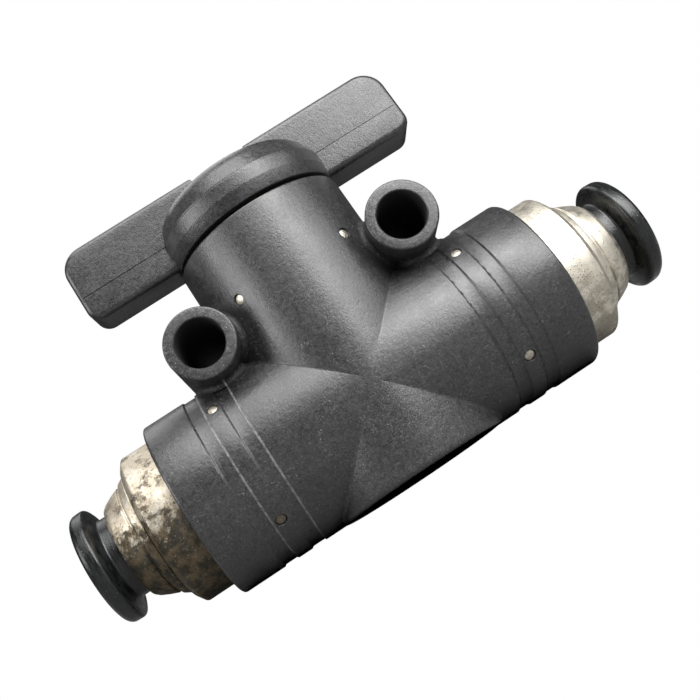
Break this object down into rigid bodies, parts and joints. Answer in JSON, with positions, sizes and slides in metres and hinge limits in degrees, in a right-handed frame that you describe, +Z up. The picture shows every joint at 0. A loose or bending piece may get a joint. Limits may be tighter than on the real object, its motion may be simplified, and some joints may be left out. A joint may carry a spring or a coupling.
{
  "type": "push-to-connect inline hand ball valve",
  "caption": "Black inline push-to-connect ball valve for plastic air tube, with a two-wing quarter-turn handle, mounting tubes and nickel-plated ends.",
  "frame": {"origin": "centre of the bounding box in X and Y, on the flat under the body", "axes": "+X along the barrel, +Z up the stem towards the handle, -Y the side the picture shows"},
  "size_m": [0.0546, 0.0166, 0.0336],
  "materials": {
    "black_polymer": "fine matt grain, black glass-filled PBT",
    "collar_polymer": "semi-gloss moulded black acetal",
    "nickel_plate": "satin nickel plate on turned brass",
    "brass": "turned",
    "chrome_plate": "polished",
    "stainless": "bright stamped or turned",
    "ptfe": "smooth white PTFE",
    "nbr_rubber": "moulded nitrile rubber",
    "acetal": "natural acetal"
  },
  "bodies": {
    "valve_body": {"body_shell": "black_polymer", "body_core": "nickel_plate", "thrust_washer": "ptfe", "gland_ring": "brass", "left_ball_seat": "ptfe", "left_seat_retainer": "brass", "left_cartridge_sleeve": "nickel_plate", "left_sleeve_o_ring": "nbr_rubber", "left_tube_seal": "nbr_rubber", "left_guide_ring": "acetal", "left_lock_claw": "stainless", "left_clamp_ring": "brass", "right_ball_seat": "ptfe", "right_seat_retainer": "brass", "right_cartridge_sleeve": "nickel_plate", "right_sleeve_o_ring": "nbr_rubber", "right_tube_seal": "nbr_rubber", "right_guide_ring": "acetal", "right_lock_claw": "stainless", "right_clamp_ring": "brass"},
    "handle_and_ball": {"handle": "black_polymer", "handle_screw": "stainless", "screw_washer": "stainless", "stem": "brass", "lower_stem_o_ring": "nbr_rubber", "upper_stem_o_ring": "nbr_rubber", "ball": "chrome_plate"},
    "left_collar": {"left_release_collar": "collar_polymer"},
    "right_collar": {"right_release_collar": "collar_polymer"}
  },
  "joints": [
    {"name": "quarter_turn", "type": "hinge", "parent": "valve_body", "child": "handle_and_ball", "pos_m": [0, 0, 0.0082], "axis": [0, 0, 1], "range_deg": [-90, 0]},
    {"name": "left_release", "type": "slide", "parent": "valve_body", "child": "left_collar", "axis": [1, 0, 0], "range_m": [0, 0.001], "stiffness_N_per_m": 800},
    {"name": "right_release", "type": "slide", "parent": "valve_body", "child": "right_collar", "axis": [-1, 0, 0], "range_m": [0, 0.001], "stiffness_N_per_m": 800}
  ]
}
